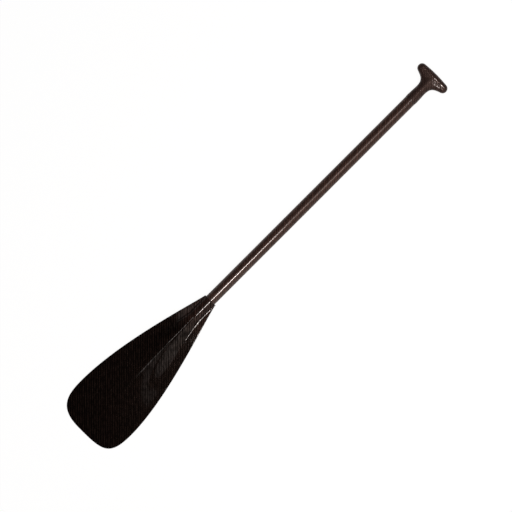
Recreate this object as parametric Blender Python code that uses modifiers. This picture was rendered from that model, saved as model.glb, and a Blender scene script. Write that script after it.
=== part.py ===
"""A carbon canoe paddle: a round tube, a foam-cored blade moulded over its lower end, and a T-grip.

Metres, +Z up. The paddle lies on its power face, with the shaft's axis parallel to X, the grip towards
+X and the blade towards -X. The origin is on the floor, under the middle of the paddle's length.
Blade positions are given by the distance from the throat towards the tip, and by y across the blade.
The skins, strips and fillings nest in one another, at known depths under the blade's two faces.
"""

import functools
import math

import bmesh
import bpy
from mathutils import Vector

# The paddle and its fits
PADDLE_LENGTH = 1.397
GLUE_GAP = 0.0003

# The shaft
SHAFT_DIAMETER = 0.0330
SHAFT_WALL = 0.0016
PLUG_LENGTH = 0.025

# The blade's outline. Left is +Y, which is on the left when the grip is up and the back is in view.
BLADE_LENGTH = 0.510
THROAT_LIP = 0.0020
THROAT_REACH = 0.040
TIP_FLAT = 0.016
LEFT_EDGE = {
    "half_width": 0.0963,
    "widest_from_tip": 0.0985,
    "throat_slope": 0.19,
    "shoulder_reach": 0.158,
    "corner_reach": 0.060,
    "tip_reach": 0.078,
}
RIGHT_EDGE = {
    "half_width": 0.1093,
    "widest_from_tip": 0.0887,
    "throat_slope": 0.13,
    "shoulder_reach": 0.150,
    "corner_reach": 0.0805,
    "tip_reach": 0.079,
}

# The blade's section. The socket is the part of the blade that wraps round the tube.
SOCKET_LENGTH = 0.063
SKIN_THICKNESS = 0.0012
EDGE_THICKNESS = 0.0048
SPOON_DEPTH = 0.0150
CAMBER_RADIUS = 2.083
FULL_WITHIN = 0.153
TIP_THINNING = 6
BEYOND_ARC_SLOPE = 5.0
VALLEY_SHARP = 0.0006
VALLEY_SOFT = 0.0050
VALLEY_SOFTENS_IN = 0.060
BACK = {
    "side": 1,
    "centre_thickness": 0.0058,
    "ridge_softness": 0.12,
    "spine_fall": 0.056,
    "crown_growth": 13.0,
}
POWER = {
    "side": -1,
    "centre_thickness": 0.0050,
    "ridge_softness": 1.5,
    "spine_fall": 0.085,
    "crown_growth": 20.0,
}

# What the blade holds
BAND_WIDTH = 0.0080
SPAR_ROOT_CLEARANCE = 0.0004
SPAR_TIP_HALF_WIDTH = 0.0020
SPAR_END_FROM_TIP = 0.040
CAP_THICKNESS = 0.0008
CAP_END_FROM_TIP = 0.080
CORE_END_CLEARANCE = 0.0020
FILLER_THIN_END = 0.0010

# The grip. Along is measured from the joint with the shaft, across from the shaft's axis.
GRIP_LENGTH = 0.103
GRIP_HALF_WIDTH = 0.0535
GRIP_JOINT_PROUD = 0.0003
GRIP_COLLAR_PROUD = 0.0007
GRIP_COLLAR_AT = 0.008
GRIP_WAIST_NARROWING = 0.0005
GRIP_WAIST_AT = 0.042
GRIP_HORN_RADIUS = 0.0135
GRIP_TOP_CROWN = 0.0019
GRIP_MIDDLE_THICKNESS = 0.030
GRIP_HORN_THICKNESS = 0.025
GRIP_WALL = 0.0012
SHELL_LIP = 0.0010
FLARE_WAIST_REACH = 0.022
FLARE_HORN_REACH = 0.020
FLARE_END_ANGLE = math.radians(161.5)
TOP_END_ANGLE = math.radians(5.0)
TENON_WALL = 0.0020
TENON_IN_SHAFT = 0.060
TENON_IN_GRIP = 0.036

# How finely the surfaces are divided
ROUND_STEPS = 32
SOCKET_STATIONS = 4
BODY_STATIONS = 13
BODY_CROWDING = 1.6
TIP_STATIONS = 10
LEAST_STATION = 0.0002
CROWN_COLUMNS = 7
WING_COLUMNS = (0.03, 0.12, 0.32, 0.62, 1.0)
LEAST_CROWN_SHARE = 0.33
MOST_CROWN_SHARE = 0.9
SPAR_COLUMNS = 5
BAND_STATIONS = 24
NECK_RIBS = 4
THROAT_RIBS = 5
BAR_RIBS = 4
HORN_RIBS = 8
RIB_STEPS = 5
SHARP_ANGLE = math.radians(35)
WELD_DISTANCE = 1e-6

# Sizes that follow from those
SHAFT_RADIUS = SHAFT_DIAMETER / 2
BORE_RADIUS = SHAFT_RADIUS - SHAFT_WALL
TUBE_CLEARANCE_RADIUS = SHAFT_RADIUS + GLUE_GAP
SOCKET_RADIUS = TUBE_CLEARANCE_RADIUS + SKIN_THICKNESS
THROAT_HALF_WIDTH = SOCKET_RADIUS + THROAT_LIP
CORE_DEPTH = SKIN_THICKNESS + GLUE_GAP
SPAR_DEPTH = CORE_DEPTH + CAP_THICKNESS + GLUE_GAP
SPAR_ROOT_HALF_WIDTH = SOCKET_RADIUS - SPAR_DEPTH - SPAR_ROOT_CLEARANCE
THROAT_X = BLADE_LENGTH - PADDLE_LENGTH / 2
TUBE_END_X = THROAT_X - SOCKET_LENGTH
GRIP_X = PADDLE_LENGTH / 2 - GRIP_LENGTH
GRIP_JOINT_RADIUS = SHAFT_RADIUS + GRIP_JOINT_PROUD
GRIP_COLLAR_RADIUS = SHAFT_RADIUS + GRIP_COLLAR_PROUD
GRIP_WAIST_RADIUS = SHAFT_RADIUS - GRIP_WAIST_NARROWING
INSIDE_START = SOCKET_LENGTH + GLUE_GAP
SPAR_END = BLADE_LENGTH - SPAR_END_FROM_TIP
CAP_END = BLADE_LENGTH - CAP_END_FROM_TIP
BAND_INSET = BAND_WIDTH + GLUE_GAP
CORE_END = BLADE_LENGTH - BAND_INSET - CORE_END_CLEARANCE
TENON_RADIUS = min(BORE_RADIUS, GRIP_WAIST_RADIUS - GRIP_WALL) - GLUE_GAP
BAR_ALONG = GRIP_LENGTH - GRIP_TOP_CROWN - GRIP_HORN_RADIUS
HORN_ACROSS = GRIP_HALF_WIDTH - GRIP_HORN_RADIUS


def mix(a, b, share):
    return a + (b - a) * share


def smooth_step(share):
    share = min(max(share, 0.0), 1.0)
    return share * share * (3 - 2 * share)


def smooth_max(a, b, blend):
    """The larger of two heights, with the crease rounded where they differ by less than blend."""
    near = max(blend - abs(a - b), 0.0) / blend
    return max(a, b) + near * near * blend / 4


def bezier(points, share):
    """Position and direction on a cubic Bezier curve."""
    a, b, c, d = (Vector(point) for point in points)
    ab, bc, cd = a.lerp(b, share), b.lerp(c, share), c.lerp(d, share)
    abc, bcd = ab.lerp(bc, share), bc.lerp(cd, share)
    return abc.lerp(bcd, share), (bcd - abc).normalized()


class Edge:
    """One side of the blade's outline: a curve to the widest point, and one on to the tip."""

    def __init__(self, half_width, widest_from_tip, throat_slope, shoulder_reach, corner_reach, tip_reach):
        self.widest = BLADE_LENGTH - widest_from_tip
        self.shoulder = (
            (0.0, THROAT_HALF_WIDTH),
            (THROAT_REACH, THROAT_HALF_WIDTH + throat_slope * THROAT_REACH),
            (self.widest - shoulder_reach, half_width),
            (self.widest, half_width),
        )
        self.corner = (
            (self.widest, half_width),
            (self.widest + corner_reach, half_width),
            (BLADE_LENGTH, TIP_FLAT / 2 + tip_reach),
            (BLADE_LENGTH, TIP_FLAT / 2),
        )

    def point(self, share, inset=0.0):
        """(distance, half-width) at a share from 0 at the throat to 2 at the tip, moved in by the inset."""
        if share <= 1:
            place, direction = bezier(self.shoulder, share)
        else:
            place, direction = bezier(self.corner, share - 1)
        return place + inset * Vector((direction.y, -direction.x))

    @functools.lru_cache(maxsize=None)
    def half_width(self, distance, inset=0.0):
        low, high = 0.0, 2.0
        while high - low > 1e-7:
            middle = (low + high) / 2
            if self.point(middle, inset).x < distance:
                low = middle
            else:
                high = middle
        return self.point(high, inset).y


LEFT = Edge(**LEFT_EDGE)
RIGHT = Edge(**RIGHT_EDGE)


def fullness(distance):
    """How thick the wings are, from 0 at the throat and the tip to 1 along the blade."""
    return smooth_step(distance / FULL_WITHIN) * (1 - (distance / BLADE_LENGTH) ** TIP_THINNING)


def wing_height(face, distance, y):
    """Height of a face beside the spine: thin at the edges, with a ridge or a crown along the middle."""
    edge = LEFT if y >= 0 else RIGHT
    across = min(abs(y) / edge.half_width(distance), 1.0)
    soft = face["ridge_softness"]
    ridge = (math.hypot(1, soft) - math.hypot(across, soft)) / (math.hypot(1, soft) - soft)
    rise = face["centre_thickness"] - EDGE_THICKNESS / 2
    return EDGE_THICKNESS / 2 + rise * fullness(distance) * ridge


def spine_arc(face, distance, depth):
    """(radius, crest height) of the round spine: the socket's own over the tube, then wider and lower."""
    past = max(distance - SOCKET_LENGTH, 0.0)
    radius = SOCKET_RADIUS * math.exp(face["crown_growth"] * past)
    crest = SOCKET_RADIUS - face["spine_fall"] * past
    return radius - depth, crest - depth


def face_height(face, distance, y, depth):
    """Height of a layer over the blade's middle surface, at a depth under the outside."""
    radius, crest = spine_arc(face, distance, depth)
    beyond = BEYOND_ARC_SLOPE * max(abs(y) - radius, 0.0)
    arc = crest - radius + math.sqrt(max(radius**2 - y**2, 0.0)) - beyond
    soft = smooth_step((distance - SOCKET_LENGTH) / VALLEY_SOFTENS_IN)
    return smooth_max(wing_height(face, distance, y) - depth, arc, mix(VALLEY_SHARP, VALLEY_SOFT, soft))


def middle_height(distance, y):
    """Height of the blade's middle surface over the shaft's axis: spooned along, and cambered across."""
    share = max(distance - SOCKET_LENGTH, 0.0) / (BLADE_LENGTH - SOCKET_LENGTH)
    return -SPOON_DEPTH * share**2 - y**2 / (2 * CAMBER_RADIUS)


def blade_point(face, distance, y, depth):
    z = middle_height(distance, y) + face["side"] * face_height(face, distance, y, depth)
    return Vector((THROAT_X - distance, y, z))


def axis_height():
    """Height of the shaft's axis when what reaches furthest below it is on the floor."""
    lowest = max(SOCKET_RADIUS, GRIP_COLLAR_RADIUS)
    for edge, sign in ((LEFT, 1), (RIGHT, -1)):
        for step in range(BAND_STATIONS + 1):
            place = edge.point(1 + step / BAND_STATIONS)
            lowest = max(lowest, EDGE_THICKNESS / 2 - middle_height(place.x, sign * place.y))
    return lowest


def spine_foot(face, distance, edge):
    """Where the spine's arc comes down to the wing, or a third of the width once the spine has run out."""
    radius, crest = spine_arc(face, distance, 0.0)
    foot = 0.0
    for _ in range(3):
        rise = max(crest - wing_height(face, distance, foot if edge is LEFT else -foot), 0.0)
        foot = math.sqrt(max(radius**2 - (radius - rise) ** 2, 0.0))
    half_width = edge.half_width(distance)
    return min(max(foot, LEAST_CROWN_SHARE * half_width), MOST_CROWN_SHARE * half_width)


def columns(face, distance, edge, depth):
    """Distances across one side of a layer, to the blade's edge, closest together over the spine.

    The first is half a step from the middle, so that the socket has a flat facet to rest on.
    """
    radius, _ = spine_arc(face, distance, 0.0)
    reach = math.asin(min(spine_foot(face, distance, edge) / radius, 1.0))
    turns = [reach * (k + 0.5) / (CROWN_COLUMNS - 0.5) for k in range(CROWN_COLUMNS)]
    crown = [(radius - depth) * math.sin(turn) for turn in turns]
    return crown + [mix(crown[-1], edge.half_width(distance), share) for share in WING_COLUMNS]


def stations(start, end):
    """Distances from the throat at which the blade's layers have a section, from start to end."""
    places = [SOCKET_LENGTH * k / SOCKET_STATIONS for k in range(SOCKET_STATIONS + 1)]
    for k in range(1, BODY_STATIONS + 1):
        places.append(mix(SOCKET_LENGTH, RIGHT.widest, (k / BODY_STATIONS) ** BODY_CROWDING))
    for k in range(1, TIP_STATIONS + 1):
        places.append(RIGHT.point(1 + k / TIP_STATIONS).x)
    return [start] + [d for d in places if start + LEAST_STATION < d < end - LEAST_STATION] + [end]


def add_grid(shape, rows):
    """Adds rows of points and the faces between them, and returns the rows of vertices.

    Each cell is split from its corner nearest the middle, so that layers over one another fold alike.
    """
    grid = [[shape.verts.new(point) for point in row] for row in rows]
    for row, following in zip(grid, grid[1:]):
        for k in range(len(row) - 1):
            near, far = sorted((k, k + 1), key=lambda column: abs(row[column].co.y))
            shape.faces.new((row[near], row[far], following[far]))
            shape.faces.new((row[near], following[far], following[near]))
    return grid


def finished_mesh(shape, name):
    mesh = bpy.data.meshes.new(name)
    shape.to_mesh(mesh)
    shape.free()
    return mesh


def open_surface(name, rows, side):
    """A surface through rows of points, facing up or down, for a piece that has one thickness."""
    shape = bmesh.new()
    add_grid(shape, rows)
    bmesh.ops.remove_doubles(shape, verts=shape.verts, dist=WELD_DISTANCE)
    bmesh.ops.recalc_face_normals(shape, faces=shape.faces)
    if side * sum(face.normal.z * face.calc_area() for face in shape.faces) < 0:
        bmesh.ops.reverse_faces(shape, faces=shape.faces)
    return finished_mesh(shape, name)


def filled_between(name, upper, lower):
    """A closed solid between two surfaces that have the same rows of points, walled in round their rims."""
    shape = bmesh.new()
    top = add_grid(shape, upper)
    bottom = add_grid(shape, lower)
    rims = (
        (top[0], bottom[0]),
        (top[-1], bottom[-1]),
        ([row[0] for row in top], [row[0] for row in bottom]),
        ([row[-1] for row in top], [row[-1] for row in bottom]),
    )
    for above, below in rims:
        for k in range(len(above) - 1):
            shape.faces.new((above[k], above[k + 1], below[k + 1], below[k]))
    bmesh.ops.remove_doubles(shape, verts=shape.verts, dist=WELD_DISTANCE)
    bmesh.ops.recalc_face_normals(shape, faces=shape.faces)
    return finished_mesh(shape, name)


def blade_skin(face):
    """Outside of one carbon skin, from edge to edge, wrapped half round the tube in the socket."""
    rows = []
    for distance in stations(0.0, BLADE_LENGTH):
        right, left = (columns(face, distance, edge, 0.0) for edge in (RIGHT, LEFT))
        across = [-y for y in reversed(right)] + left
        rows.append([blade_point(face, distance, y, 0.0) for y in across])
    return open_surface("blade_skin", rows, face["side"])


def spar_half_width(distance):
    share = (distance - SOCKET_LENGTH) / (SPAR_END - SOCKET_LENGTH)
    return mix(SPAR_ROOT_HALF_WIDTH, SPAR_TIP_HALF_WIDTH, share)


def spar_rows(face, depth, end):
    """Rows of a surface over the stringer's width, at one depth under a face."""
    rows = []
    for distance in stations(INSIDE_START, end):
        row = []
        for k in range(-SPAR_COLUMNS, SPAR_COLUMNS + 1):
            y = spar_half_width(distance) * math.sin(math.pi / 2 * k / SPAR_COLUMNS)
            row.append(blade_point(face, distance, y, depth))
        rows.append(row)
    return rows


def blade_spar():
    """The foam stringer along the blade's middle, from the tube's end nearly to the tip."""
    upper, lower = (spar_rows(face, SPAR_DEPTH, SPAR_END) for face in (BACK, POWER))
    return filled_between("blade_spar", upper, lower)


def spine_cap(face):
    """Outside of the carbon strip between the stringer and one skin."""
    return open_surface("spine_cap", spar_rows(face, CORE_DEPTH, CAP_END), face["side"])


def side_block(name, edge, distances, inner):
    """A block of filling on one side of the blade, from a given half-width out to the edge band."""
    sign = 1 if edge is LEFT else -1
    surfaces = []
    for face in (BACK, POWER):
        rows = []
        for distance in distances:
            start, end = inner(distance), edge.half_width(distance, BAND_INSET)
            across = [min(max(y, start), end) for y in columns(face, distance, edge, CORE_DEPTH)]
            rows.append([blade_point(face, distance, sign * y, CORE_DEPTH) for y in across])
        surfaces.append(rows)
    return filled_between(name, *surfaces)


def beside_spar(distance):
    return spar_half_width(distance) + GLUE_GAP


def beside_tube(_):
    return TUBE_CLEARANCE_RADIUS


def blade_core(edge):
    """The foam on one side, between the stringer and the edge band."""
    return side_block("blade_core", edge, stations(INSIDE_START, CORE_END), beside_spar)


def throat_filler(edge):
    """The bonding paste beside the tube, in the wedge that opens between the two skins."""
    low, high = 0.0, SOCKET_LENGTH
    while high - low > 1e-6:
        middle = (low + high) / 2
        if edge.half_width(middle, BAND_INSET) < TUBE_CLEARANCE_RADIUS + FILLER_THIN_END:
            low = middle
        else:
            high = middle
    return side_block("throat_filler", edge, stations(high, SOCKET_LENGTH), beside_tube)


def edge_band():
    """The hard band between the skins, from the throat round the tip and back to the throat."""
    path = []
    for edge, sign in ((LEFT, 1), (RIGHT, -1)):
        side = []
        for step in range(2 * BAND_STATIONS + 1):
            share = step / BAND_STATIONS
            outer = edge.point(share)
            inner = edge.point(share, BAND_WIDTH)
            if outer.x <= SOCKET_LENGTH:
                width = max(edge.half_width(outer.x, BAND_WIDTH), TUBE_CLEARANCE_RADIUS)
                inner = Vector((outer.x, width))
            side.append([(outer.x, sign * outer.y), (inner.x, sign * inner.y)])
        path += side if edge is LEFT else side[::-1]
    upper, lower = (
        [[blade_point(face, *place, CORE_DEPTH) for place in row] for row in path] for face in (BACK, POWER)
    )
    return filled_between("edge_band", upper, lower)


def neck_radius(along):
    """Radius of the grip's round neck: a little proud of the shaft, then drawn in to the waist."""
    if along < GRIP_COLLAR_AT:
        short = (GRIP_COLLAR_AT - along) / GRIP_COLLAR_AT
        return mix(GRIP_COLLAR_RADIUS, GRIP_JOINT_RADIUS, short**2)
    share = (along - GRIP_COLLAR_AT) / (GRIP_WAIST_AT - GRIP_COLLAR_AT)
    return mix(GRIP_COLLAR_RADIUS, GRIP_WAIST_RADIUS, smooth_step(share))


def bar_half_thickness(across):
    return mix(GRIP_MIDDLE_THICKNESS, GRIP_HORN_THICKNESS, smooth_step(across / HORN_ACROSS)) / 2


def grip_ribs(start):
    """Half of the grip as ribs from its middle line out to its outline, from start round to the top.

    Each rib is (foot, tip, half-thickness at the foot). The feet run up the neck, then out along the bar
    to the horn and back.
    """
    horn = Vector((BAR_ALONG, HORN_ACROSS))
    normal = Vector((math.cos(FLARE_END_ANGLE), math.sin(FLARE_END_ANGLE)))
    flare_end = horn + GRIP_HORN_RADIUS * normal
    flare = (
        (GRIP_WAIST_AT, GRIP_WAIST_RADIUS),
        (GRIP_WAIST_AT + FLARE_WAIST_REACH, GRIP_WAIST_RADIUS),
        flare_end - FLARE_HORN_REACH * Vector((normal.y, -normal.x)),
        flare_end,
    )
    ribs = []
    for k in range(NECK_RIBS):
        along = mix(start, GRIP_WAIST_AT, k / NECK_RIBS)
        radius = neck_radius(along)
        ribs.append((Vector((along, 0.0)), Vector((along, radius)), radius))
    flare_ribs = THROAT_RIBS + BAR_RIBS
    for k in range(THROAT_RIBS):
        share = k / THROAT_RIBS
        tip, _ = bezier(flare, k / flare_ribs)
        thick = mix(GRIP_WAIST_RADIUS, GRIP_MIDDLE_THICKNESS / 2, smooth_step(share))
        ribs.append((Vector((mix(GRIP_WAIST_AT, BAR_ALONG, share), 0.0)), tip, thick))
    for k in range(BAR_RIBS):
        across = HORN_ACROSS * k / BAR_RIBS
        tip, _ = bezier(flare, (THROAT_RIBS + k) / flare_ribs)
        ribs.append((Vector((BAR_ALONG, across)), tip, bar_half_thickness(across)))
    for k in range(HORN_RIBS + 1):
        turn = mix(FLARE_END_ANGLE, TOP_END_ANGLE, k / HORN_RIBS)
        tip = horn + GRIP_HORN_RADIUS * Vector((math.cos(turn), math.sin(turn)))
        ribs.append((horn, tip, bar_half_thickness(HORN_ACROSS)))
    for k in range(1, BAR_RIBS + 1):
        across = HORN_ACROSS * (BAR_RIBS - k) / BAR_RIBS
        top = GRIP_LENGTH - GRIP_TOP_CROWN * (across / HORN_ACROSS) ** 2
        ribs.append((Vector((BAR_ALONG, across)), Vector((top, across)), bar_half_thickness(across)))
    return ribs


def grip_rows(start, inset, base):
    """Rows of points over a quarter of the grip, at an inset under its outside, down to a base height."""
    rows = []
    for foot, tip, thick in grip_ribs(start):
        rim = tip - inset * (tip - foot).normalized()
        row = []
        for k in range(RIB_STEPS + 1):
            turn = math.pi / 2 * k / RIB_STEPS
            place = foot.lerp(rim, math.sin(turn))
            height = mix(base, thick - inset, math.cos(turn))
            row.append(Vector((GRIP_X + place.x, place.y, height)))
        rows.append(row)
    return rows


def grip_shell(side):
    """Outside of one half of the grip, with an upright lip at the parting line, to be mirrored across."""
    rows = grip_rows(GLUE_GAP, 0.0, SHELL_LIP)
    rows = [[*row, Vector((row[-1].x, row[-1].y, GLUE_GAP / 2))] for row in rows]
    rows = [[Vector((point.x, point.y, side * point.z)) for point in row] for row in rows]
    return open_surface("grip_shell", rows, side)


def grip_core():
    """A quarter of the grip's foam, with its flat end at the tenon, to be mirrored both ways."""
    rows = grip_rows(TENON_IN_GRIP + GLUE_GAP, GRIP_WALL + GLUE_GAP, 0.0)
    shape = bmesh.new()
    grid = add_grid(shape, rows)
    middle = shape.verts.new((rows[0][0].x, 0.0, 0.0))
    shape.faces.new([middle, *grid[0]])
    bmesh.ops.remove_doubles(shape, verts=shape.verts, dist=WELD_DISTANCE)
    bmesh.ops.recalc_face_normals(shape, faces=shape.faces)
    return finished_mesh(shape, "grip_core")


def ring_profile(outer, inner, length):
    """A tube's section, down its outer side and back up its bore."""
    return [(outer, length), (outer, 0.0), (inner, 0.0), (inner, length), (outer, length)]


def disc_profile(radius, length):
    return [(0.0, length), (radius, length), (radius, 0.0), (0.0, 0.0)]


def cup_profile(radius, wall, length):
    """A cup's section: open at the far end, and closed at its start."""
    inner = radius - wall
    outside = [(inner, length), (radius, length), (radius, 0.0), (0.0, 0.0)]
    inside = [(0.0, wall), (inner, wall), (inner, length)]
    return outside + inside


def principled(name, colour, roughness, coat=0.0):
    material = bpy.data.materials.new(name)
    material.use_nodes = True
    shader = material.node_tree.nodes["Principled BSDF"]
    shader.inputs["Base Color"].default_value = (*colour, 1.0)
    shader.inputs["Roughness"].default_value = roughness
    shader.inputs["Metallic"].default_value = 0.0
    shader.inputs["Coat Weight"].default_value = coat
    return material


def add_object(name, mesh, parent, material, collection):
    mesh.name = name
    mesh.materials.append(material)
    mesh.shade_smooth()
    mesh.set_sharp_from_angle(angle=SHARP_ANGLE)
    obj = bpy.data.objects.new(name, mesh)
    obj.parent = parent
    collection.objects.link(obj)
    return obj


def add_thickness(obj, thickness):
    """Gives an open surface its thickness, inwards from the outside that it follows."""
    solid = obj.modifiers.new("thickness", "SOLIDIFY")
    solid.thickness = thickness
    solid.offset = -1.0
    solid.use_even_offset = True


def add_mirror(obj, both_ways=False):
    mirror = obj.modifiers.new("mirror", "MIRROR")
    mirror.use_axis = (False, True, both_ways)
    mirror.use_clip = True
    mirror.merge_threshold = WELD_DISTANCE


def add_turned(name, profile, along, axis, material, collection):
    """A profile of (radius, along) points, given down its outer side, spun round the shaft's axis."""
    mesh = bpy.data.meshes.new(name)
    edges = [(k, k + 1) for k in range(len(profile) - 1)]
    mesh.from_pydata([(radius, 0.0, height) for radius, height in profile], edges, [])
    obj = add_object(name, mesh, axis, material, collection)
    obj.location.z = along
    obj.rotation_euler.z = math.pi / ROUND_STEPS
    screw = obj.modifiers.new("turn", "SCREW")
    screw.steps = ROUND_STEPS
    screw.render_steps = ROUND_STEPS
    screw.use_merge_vertices = True
    screw.merge_threshold = WELD_DISTANCE
    weld = obj.modifiers.new("close", "WELD")
    weld.merge_threshold = WELD_DISTANCE


def main():
    for obj in list(bpy.data.objects):
        bpy.data.objects.remove(obj, do_unlink=True)
    collection = bpy.data.collections.new("canoe_paddle")
    bpy.context.scene.collection.children.link(collection)

    frame = bpy.data.objects.new("paddle_frame", None)
    frame.location.z = axis_height()
    collection.objects.link(frame)
    axis = bpy.data.objects.new("shaft_axis", None)
    axis.rotation_euler.y = math.pi / 2
    axis.parent = frame
    collection.objects.link(axis)

    braid = principled("carbon_braid", (0.060, 0.047, 0.044), 0.32, 1.0)
    twill = principled("carbon_twill", (0.030, 0.023, 0.021), 0.35, 1.0)
    strip = principled("carbon_strip", (0.045, 0.045, 0.048), 0.45)
    foam = principled("foam", (0.72, 0.66, 0.50), 0.9)
    paste = principled("bonding_paste", (0.16, 0.15, 0.14), 0.7)
    resin = principled("edge_resin", (0.035, 0.032, 0.030), 0.5)
    moulded = principled("moulded_plastic", (0.08, 0.08, 0.085), 0.55)

    tube_length = GRIP_X - TUBE_END_X
    tube = ring_profile(SHAFT_RADIUS, BORE_RADIUS, tube_length)
    add_turned("shaft_tube", tube, TUBE_END_X, axis, braid, collection)
    plug = disc_profile(BORE_RADIUS - GLUE_GAP, PLUG_LENGTH)
    add_turned("shaft_end_plug", plug, TUBE_END_X, axis, foam, collection)
    tenon = cup_profile(TENON_RADIUS, TENON_WALL, TENON_IN_SHAFT + TENON_IN_GRIP)
    add_turned("grip_tenon", tenon, GRIP_X - TENON_IN_SHAFT, axis, moulded, collection)

    for face, name in ((BACK, "back"), (POWER, "power")):
        skin = add_object(f"blade_skin_{name}", blade_skin(face), frame, twill, collection)
        add_thickness(skin, SKIN_THICKNESS)
        cap = add_object(f"spine_cap_{name}", spine_cap(face), frame, strip, collection)
        add_thickness(cap, CAP_THICKNESS)
        shell = add_object(f"grip_shell_{name}", grip_shell(face["side"]), frame, braid, collection)
        add_mirror(shell)
        add_thickness(shell, GRIP_WALL)
    for edge, name in ((LEFT, "left"), (RIGHT, "right")):
        add_object(f"blade_core_{name}", blade_core(edge), frame, foam, collection)
        add_object(f"throat_filler_{name}", throat_filler(edge), frame, paste, collection)
    add_object("blade_spar", blade_spar(), frame, foam, collection)
    add_object("edge_band", edge_band(), frame, resin, collection)
    add_mirror(add_object("grip_core", grip_core(), frame, foam, collection), both_ways=True)


main()
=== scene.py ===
import functools
import math

import bmesh
import bpy
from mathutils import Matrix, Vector


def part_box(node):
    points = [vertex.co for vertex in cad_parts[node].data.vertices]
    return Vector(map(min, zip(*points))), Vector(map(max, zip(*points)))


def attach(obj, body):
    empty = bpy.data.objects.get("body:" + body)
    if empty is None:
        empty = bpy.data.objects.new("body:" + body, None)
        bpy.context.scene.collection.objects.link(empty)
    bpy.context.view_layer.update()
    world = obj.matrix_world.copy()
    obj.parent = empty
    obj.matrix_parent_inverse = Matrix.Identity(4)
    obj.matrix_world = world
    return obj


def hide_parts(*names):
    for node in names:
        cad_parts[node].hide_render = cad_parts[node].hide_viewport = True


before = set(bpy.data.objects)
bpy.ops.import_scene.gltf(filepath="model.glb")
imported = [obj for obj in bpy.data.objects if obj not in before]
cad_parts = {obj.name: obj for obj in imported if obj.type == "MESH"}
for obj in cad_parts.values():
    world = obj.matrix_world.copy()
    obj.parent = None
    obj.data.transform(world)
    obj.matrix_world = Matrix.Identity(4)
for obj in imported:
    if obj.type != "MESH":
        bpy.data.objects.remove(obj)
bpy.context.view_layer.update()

# A carbon canoe paddle with its finish: smooth skins, shells and tube in place of the plain solids.
# Metres, +Z up. The shaft's axis is parallel to X, the grip is towards +X, and the blade's back is up.
# Blade positions are given by the distance from the throat towards the tip, and by y across the blade.
# Left is +Y, which is on the left when the grip is up and the back is in view.

# Sizes of the solids, as the CAD source has them
PADDLE_LENGTH = 1.397
SHAFT_RADIUS = 0.0165
SHAFT_WALL = 0.0016
GLUE_GAP = 0.0003
BLADE_LENGTH = 0.510
THROAT_HALF_WIDTH = 0.020
THROAT_REACH = 0.040
TIP_FLAT = 0.016
LEFT_EDGE = {
    "half_width": 0.0963,
    "widest_from_tip": 0.0985,
    "throat_slope": 0.19,
    "shoulder_reach": 0.158,
    "corner_reach": 0.060,
    "tip_reach": 0.078,
}
RIGHT_EDGE = {
    "half_width": 0.1093,
    "widest_from_tip": 0.0887,
    "throat_slope": 0.13,
    "shoulder_reach": 0.150,
    "corner_reach": 0.0805,
    "tip_reach": 0.079,
}
SOCKET_LENGTH = 0.063
SOCKET_RADIUS = 0.018
SKIN_THICKNESS = 0.0012
EDGE_THICKNESS = 0.0048
SPOON_DEPTH = 0.0150
CAMBER_RADIUS = 2.083
FULL_WITHIN = 0.153
TIP_THINNING = 6
BEYOND_ARC_SLOPE = 5.0
VALLEY_SHARP = 0.0006
VALLEY_SOFT = 0.0050
BACK = {
    "name": "blade_skin_back",
    "side": 1,
    "centre_thickness": 0.0058,
    "ridge_softness": 0.12,
    "spine_fall": 0.056,
    "crown_growth": 13.0,
}
POWER = {
    "name": "blade_skin_power",
    "side": -1,
    "centre_thickness": 0.0050,
    "ridge_softness": 1.5,
    "spine_fall": 0.085,
    "crown_growth": 20.0,
}
BAND_WIDTH = 0.0080
GRIP_LENGTH = 0.103
GRIP_HALF_WIDTH = 0.0535
GRIP_JOINT_RADIUS = 0.0168
GRIP_COLLAR_RADIUS = 0.0172
GRIP_COLLAR_AT = 0.008
GRIP_WAIST_RADIUS = 0.0160
GRIP_WAIST_AT = 0.042
GRIP_HORN_RADIUS = 0.0135
GRIP_TOP_CROWN = 0.0019
GRIP_MIDDLE_THICKNESS = 0.030
GRIP_HORN_THICKNESS = 0.025
GRIP_WALL = 0.0012
SHELL_LIP = 0.0010
FLARE_WAIST_REACH = 0.022
FLARE_HORN_REACH = 0.020
FLARE_END_ANGLE = math.radians(161.5)
TOP_END_ANGLE = math.radians(5.0)
FLARE_SHARE_BEFORE_BAR = 5 / 9

# Finish details that the solids leave out. The valley beside the spine softens over a longer way than in
# the solids, which shortens the streak of light in it. The runout is an edge of cloth beside the socket.
# The band's nose is given as (inset, level) points, from its upper edge at level 1 to its middle at 0.
VALLEY_SOFTENS_IN = 0.150
THROAT_FILLET = 0.0005
SEAM_GAP = 0.00002
SEAM_FILLET = 0.00025
BEAD_WIDTH = 0.0009
BEAD_HEIGHT = 0.0008
RUNOUT_HEIGHT = 0.00018
RUNOUT_FLAT = 0.0014
RUNOUT_WIDTH = 0.0008
RUNOUT_EASE = 0.020
RUNOUT_END = 0.092
BAND_NOSE = ((0.00018, 1.0), (0.00006, 0.93), (0.0, 0.7), (0.0, 0.0))

# The cloth is a 2/2 twill: each tow of carbon passes over two others and then under two. A tow is 2.3 mm
# wide, and 44 go round the shaft.
TOW = 0.0023
TOWS_ROUND_SHAFT = 44
TOWS_PASSED = 2

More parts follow.
